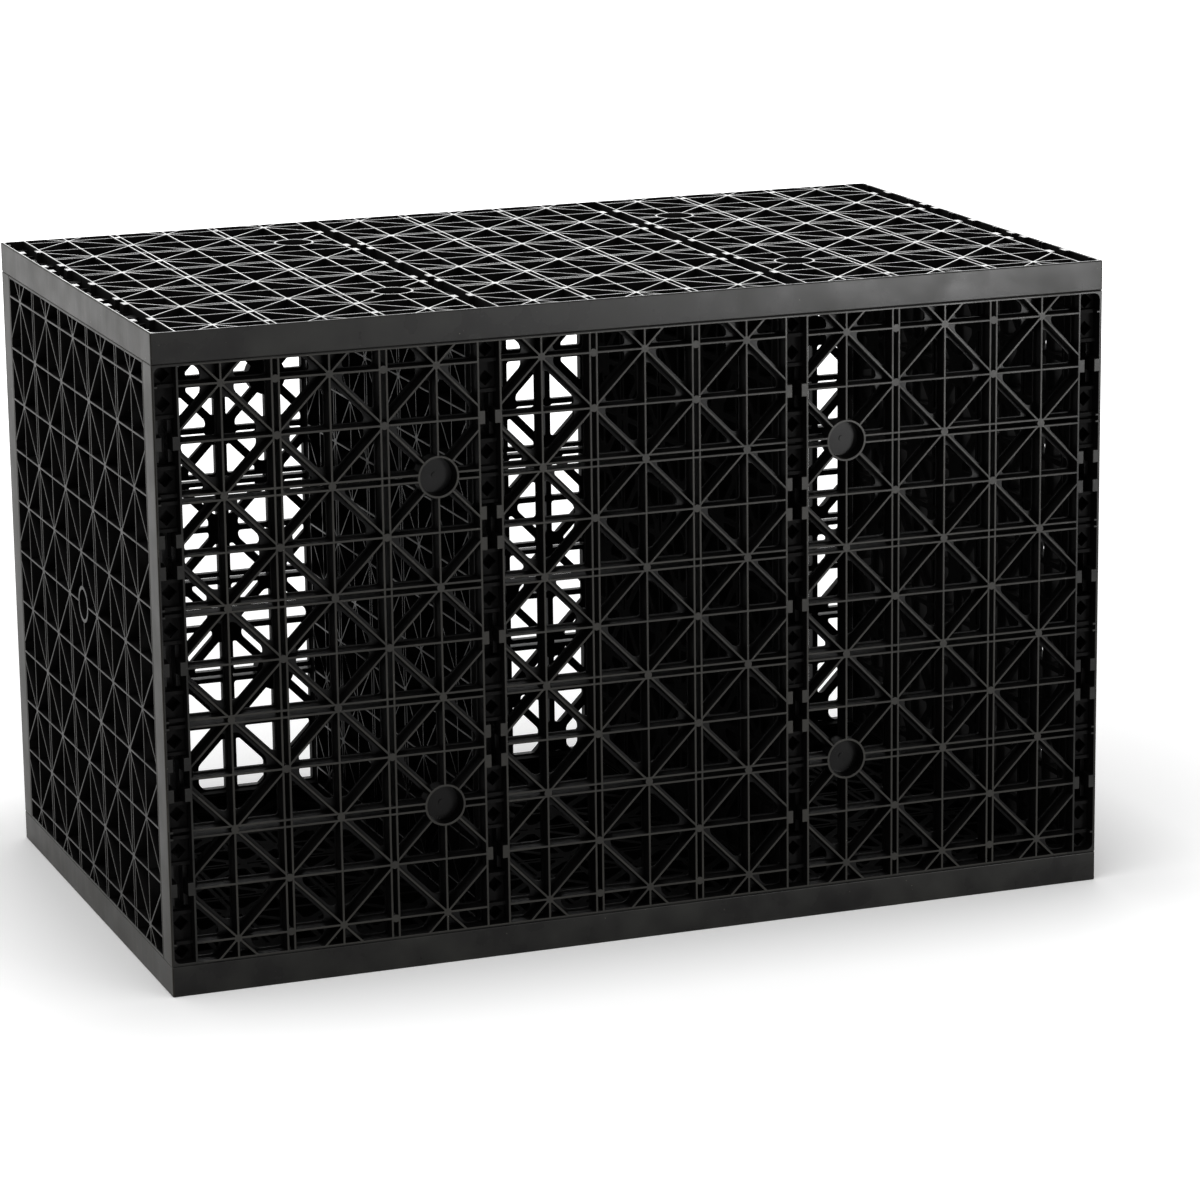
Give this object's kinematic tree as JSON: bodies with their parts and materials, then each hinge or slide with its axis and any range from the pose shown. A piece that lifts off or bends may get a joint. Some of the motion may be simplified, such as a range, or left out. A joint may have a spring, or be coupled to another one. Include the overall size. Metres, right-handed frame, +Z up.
{
  "type": "soakaway crate",
  "caption": "Open rectangular box of plastic lattice plates with cross plates inside, buried to store stormwater and let it soak away.",
  "frame": {"origin": "centre of the footprint, on the plane that the crate stands on", "axes": "+X along the length, the front long side faces -Y, +Z up"},
  "size_m": [0.685, 0.408, 0.45],
  "materials": {
    "recycled_plastic": "satin charcoal polypropylene"
  },
  "bodies": {
    "root": {"bottom_plate": "recycled_plastic", "top_plate": "recycled_plastic", "front_plate": "recycled_plastic", "back_plate": "recycled_plastic", "left_end_plate": "recycled_plastic", "left_inner_plate": "recycled_plastic", "right_inner_plate": "recycled_plastic", "right_end_plate": "recycled_plastic"}
  },
  "joints": []
}
